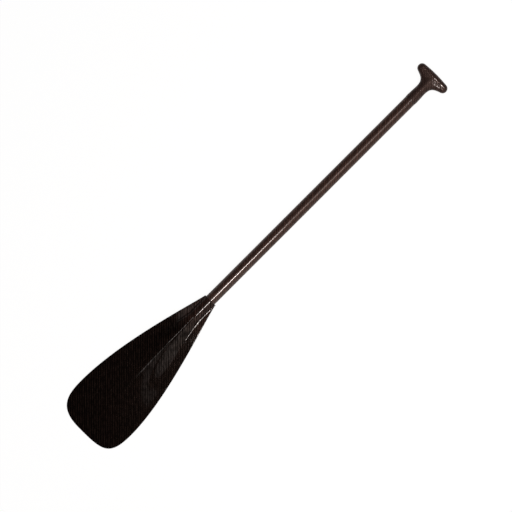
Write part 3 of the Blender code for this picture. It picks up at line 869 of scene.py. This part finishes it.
def foam(name, colour, darker):
    """Closed-cell foam: small rounded cells, darker at their walls."""
    material, nodes = new_material(name)
    position = nodes.add("ShaderNodeTexCoord").outputs["Object"]
    cells = nodes.add("ShaderNodeTexVoronoi", feature="F1")
    nodes.put(cells.inputs["Vector"], position)
    cells.inputs["Scale"].default_value = CELLS_PER_METRE
    out = cells.outputs["Distance"]
    nodes.surface(
        Base_Color=nodes.colours(nodes.ramp(out, CELL_MIDDLE, CELL_WALL), colour, darker),
        Roughness=nodes.ramp(out, CELL_MIDDLE, CELL_WALL, CELL_ROUGHNESS, CELL_WALL_ROUGHNESS),
        Normal=nodes.bump(out, CELL_DEPTH),
    )
    return material


def fibre_strip(name, colour, darker):
    """Unidirectional carbon: fine fibres that run along the blade."""
    material, nodes = new_material(name)
    x, y, _ = nodes.split(nodes.add("ShaderNodeTexCoord").outputs["Object"])
    along = nodes.math("MULTIPLY", x, LINES_ALONG)
    across = nodes.math("MULTIPLY", y, LINES_ACROSS)
    lines = nodes.noise(nodes.combine(along, across), 1.0, detail=3.0)
    nodes.surface(
        Base_Color=nodes.colours(nodes.stretch(lines, LINE_CONTRAST), darker, colour),
        Roughness=nodes.stretch(lines, LINE_CONTRAST, BETWEEN_LINES_ROUGHNESS, LINE_ROUGHNESS),
        Normal=nodes.bump(lines, LINE_DEPTH),
    )
    return material


# The camera looks straight down, and is turned so that the paddle lies along the frame's diagonal
PIXELS_WIDE = 512
METRES_PER_PIXEL = 0.002777
VIEW_CENTRE = (-0.0122, -0.0026)
VIEW_TURN = -math.pi / 4
LENS, SENSOR = 200.0, 36.0
CLIP_START, CLIP_END = 0.1, 100.0

# The room that gloss mirrors: how bright its parts are, and the heights (a direction's z) and sides (its y)
# between which they fade in. To the camera all of it is white, and near the floor gloss shows a share of
# that white.
CEILING, HORIZON, LEFT_WALL, RIGHT_WALL = 0.002, 0.05, 0.08, 0.66
CEILING_FROM = 0.35
LEFT_WALL_FROM, LEFT_WALL_TO = 0.4, 1.0
RIGHT_WALL_FROM, RIGHT_WALL_TO = -0.2, -0.75
WARM_WALL = (1.0, 0.82, 0.73, 1.0)
WHITE = (1.0, 1.0, 1.0, 1.0)
WHITE_IN_GLOSS = 0.25
WHITE_UP_TO = 0.12
FLOOR_WHITE_TO_CAMERA = 0.95
FLOOR_COLOUR = (0.9, 0.9, 0.9, 1.0)
FLOOR_REACH = 60.0

# The lamps
FILL_STRENGTH = 1.3
FILL_SPREAD = math.radians(60)
LIGHT_HEIGHT = 1.7
WARM_STRIP = (1.0, 0.91, 0.87)

# Soft boxes: name, from and to along X, first and last angle from the vertical, radiance. An angle is in
# degrees to the right of the shaft, and a negative one is to the left.
SOFT_BOXES = (
    ("strip_over_blade", -0.78, -0.66, 1.5, 2.5, 2.6),
    ("strip_over_spine", -0.66, -0.46, 1.5, 3.0, 14.0),
    ("left_wing_outer", -0.29, -0.16, -16.0, -5.0, 0.7),
    ("left_wing_inner", -0.265, -0.16, -14.0, -7.0, 1.4),
    ("beside_the_ridge", -0.765, -0.67, 2.5, 12.0, 0.28),
    ("right_wing_outer", -0.70, -0.40, 15.0, 38.0, 0.38),
    ("right_wing_inner", -0.62, -0.34, 21.0, 37.0, 0.75),
    ("strip_over_shaft", -0.300, 0.12, 11.5, 20.0, 43.0),
    ("band_over_shaft", 0.08, 0.72, 4.0, 26.0, 5.0),
    ("strip_over_neck", 0.72, 0.80, 9.5, 13.5, 50.0),
    ("strip_over_grip", 1.30, 1.60, 5.0, 9.5, 110.0),
)


def add_camera():
    data = bpy.data.cameras.new("camera")
    data.lens = LENS
    data.sensor_width = SENSOR
    data.clip_start, data.clip_end = CLIP_START, CLIP_END
    camera = bpy.data.objects.new("camera", data)
    distance = PIXELS_WIDE * METRES_PER_PIXEL * LENS / SENSOR
    camera.location = (*VIEW_CENTRE, AXIS_Z + distance)
    camera.rotation_euler = (0.0, 0.0, VIEW_TURN)
    bpy.context.scene.collection.objects.link(camera)
    bpy.context.scene.camera = camera


def add_soft_box(name, start, end, first_angle, last_angle, radiance):
    """A level panel that shines down. Its radiance is how bright its face looks."""
    near, far = (LIGHT_HEIGHT * math.tan(math.radians(angle)) for angle in (first_angle, last_angle))
    data = bpy.data.lights.new(name, "AREA")
    data.shape = "RECTANGLE"
    data.size, data.size_y = end - start, far - near
    data.energy = radiance * math.pi * data.size * data.size_y
    data.color = WARM_STRIP
    light = bpy.data.objects.new(name, data)
    light.location = ((start + end) / 2, -(near + far) / 2, LIGHT_HEIGHT + AXIS_Z)
    light.visible_camera = False
    bpy.context.scene.collection.objects.link(light)


def add_fill():
    """Even light from above, for the cloth's colours and the floor. It doesn't show in gloss."""
    data = bpy.data.lights.new("fill", "SUN")
    data.energy = FILL_STRENGTH
    data.angle = FILL_SPREAD
    fill = bpy.data.objects.new("fill", data)
    fill.visible_camera = False
    fill.visible_glossy = False
    bpy.context.scene.collection.objects.link(fill)


def whiten(nodes, own, white, to_camera, in_gloss, output):
    """Ends the nodes of the world or the floor.

    The camera and gloss each see a share of plain white, and the rest of what they see is its own look.
    """
    paths = nodes.add("ShaderNodeLightPath").outputs
    by_gloss = nodes.math("MAXIMUM", paths["Is Glossy Ray"], paths["Is Transmission Ray"])
    by_camera = nodes.math("MULTIPLY", paths["Is Camera Ray"], to_camera)
    both = nodes.add("ShaderNodeMixShader")
    nodes.put(both.inputs[0], nodes.math("MAXIMUM", by_camera, nodes.math("MULTIPLY", by_gloss, in_gloss)))
    nodes.put(both.inputs[1], own.outputs[0])
    nodes.put(both.inputs[2], white.outputs[0])
    nodes.put(nodes.add(output).inputs["Surface"], both.outputs[0])


def add_world():
    """A room that is white to the camera, and in gloss has a dim ceiling, so that flat carbon stays dark.

    Gloss also shows a bright wall on the right, a dim one on the left, and some white near the floor.
    """
    world = bpy.data.worlds.new("studio")
    bpy.context.scene.world = world
    world.use_nodes = True
    nodes = Nodes(world.node_tree)
    _, y, z = nodes.split(nodes.add("ShaderNodeTexCoord").outputs["Generated"])
    low = nodes.ramp(z, CEILING_FROM, 0.0, CEILING, HORIZON, smooth=True)
    right = nodes.ramp(y, RIGHT_WALL_FROM, RIGHT_WALL_TO, 0.0, RIGHT_WALL, smooth=True)
    left = nodes.ramp(y, LEFT_WALL_FROM, LEFT_WALL_TO, 0.0, LEFT_WALL, smooth=True)
    room = nodes.add("ShaderNodeBackground")
    room.inputs["Color"].default_value = WARM_WALL
    nodes.put(room.inputs["Strength"], nodes.math("MAXIMUM", nodes.math("MAXIMUM", low, right), left))
    white = nodes.add("ShaderNodeBackground")
    white.inputs["Color"].default_value = WHITE
    near_floor = nodes.ramp(z, WHITE_UP_TO, 0.0, 0.0, WHITE_IN_GLOSS)
    whiten(nodes, room, white, 1.0, near_floor, "ShaderNodeOutputWorld")


def add_floor():
    """A white floor. The camera sees it nearly without shadows, and gloss mirrors a part of its white."""
    shape = bmesh.new()
    bmesh.ops.create_grid(shape, x_segments=1, y_segments=1, size=FLOOR_REACH)
    material, nodes = new_material("floor")
    diffuse = nodes.add("ShaderNodeBsdfDiffuse")
    diffuse.inputs["Color"].default_value = FLOOR_COLOUR
    white = nodes.add("ShaderNodeEmission")
    whiten(nodes, diffuse, white, FLOOR_WHITE_TO_CAMERA, WHITE_IN_GLOSS, "ShaderNodeOutputMaterial")
    new_object("floor", shape, material)


def show(obj, node=None):
    """Puts a piece on the paddle, in place of the solid that it stands for if there is one."""
    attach(obj, "root")
    if node:
        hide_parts(node)


def blade_carbon():
    return carbon(
        "carbon_twill",
        BLADE_COLOURS,
        gloss=0.03,
        relief=0.00012,
        coat=1.0,
        lean_coat=0.35,
        coat_roughness=0.05,
        throat_sheen_colours=THROAT_SHEEN_COLOURS,
    )


def shaft_carbon():
    return carbon(
        "carbon_braid",
        SHAFT_COLOURS,
        gloss=0.25,
        relief=0.00008,
        coat=1.0,
        lean_coat=0.9,
        coat_roughness=0.08,
        thinned=True,
    )


def grip_carbon():
    return carbon(
        "carbon_braid_gloss",
        GRIP_COLOURS,
        gloss=0.25,
        relief=0.00014,
        coat=0.7,
        lean_coat=0.15,
        coat_roughness=0.12,
    )


def edge_resin():
    return plain(
        "edge_resin",
        colour=(0.012, 0.009, 0.008),
        darker=(0.006, 0.004, 0.004),
        roughness=0.35,
        scale=600.0,
        relief=0.00003,
    )


def bonding_paste():
    return plain(
        "bonding_paste",
        colour=(0.16, 0.15, 0.14),
        darker=(0.12, 0.11, 0.10),
        roughness=0.7,
        scale=500.0,
        relief=0.00008,
    )


def moulded_plastic():
    return plain(
        "moulded_plastic",
        colour=(0.08, 0.08, 0.085),
        darker=(0.06, 0.06, 0.064),
        roughness=0.55,
        scale=900.0,
        relief=0.00004,
    )


def add_pieces():
    """The pieces that show, and the materials of the solids inside."""
    blade = blade_carbon()
    shaft = shaft_carbon()
    grip = grip_carbon()
    resin = edge_resin()
    paste = bonding_paste()
    plastic = moulded_plastic()
    light_foam = foam("foam", (0.72, 0.66, 0.50), (0.50, 0.45, 0.33))
    fibre = fibre_strip("carbon_strip", (0.060, 0.060, 0.064), (0.025, 0.025, 0.027))

    for face in (BACK, POWER):
        show(blade_skin(face, blade), face["name"])
    show(edge_trim(resin), "edge_band")
    show(turned("shown_shaft_tube", shaft_profile(), shaft), "shaft_tube")
    for name, side in (("grip_shell_back", 1), ("grip_shell_power", -1)):
        show(grip_shell(name, side, grip), name)
    show(turned("throat_bead", bead_profile(THROAT_X, 1, SHAFT_RADIUS + BEAD_HEIGHT), resin))
    show(turned("grip_bead", bead_profile(GRIP_X, -1, SHAFT_RADIUS + GLUE_GAP), resin))

    inner = {
        "shaft_end_plug": light_foam,
        "blade_spar": light_foam,
        "blade_core_left": light_foam,
        "blade_core_right": light_foam,
        "grip_core": light_foam,
        "spine_cap_back": fibre,
        "spine_cap_power": fibre,
        "throat_filler_left": paste,
        "throat_filler_right": paste,
        "grip_tenon": plastic,
    }
    for name, material in inner.items():
        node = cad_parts[name]
        node.data.materials.clear()
        node.data.materials.append(material)


add_pieces()
add_world()
add_fill()
for soft_box in SOFT_BOXES:
    add_soft_box(*soft_box)
add_floor()
add_camera()
bpy.context.scene.view_settings.view_transform = "Standard"
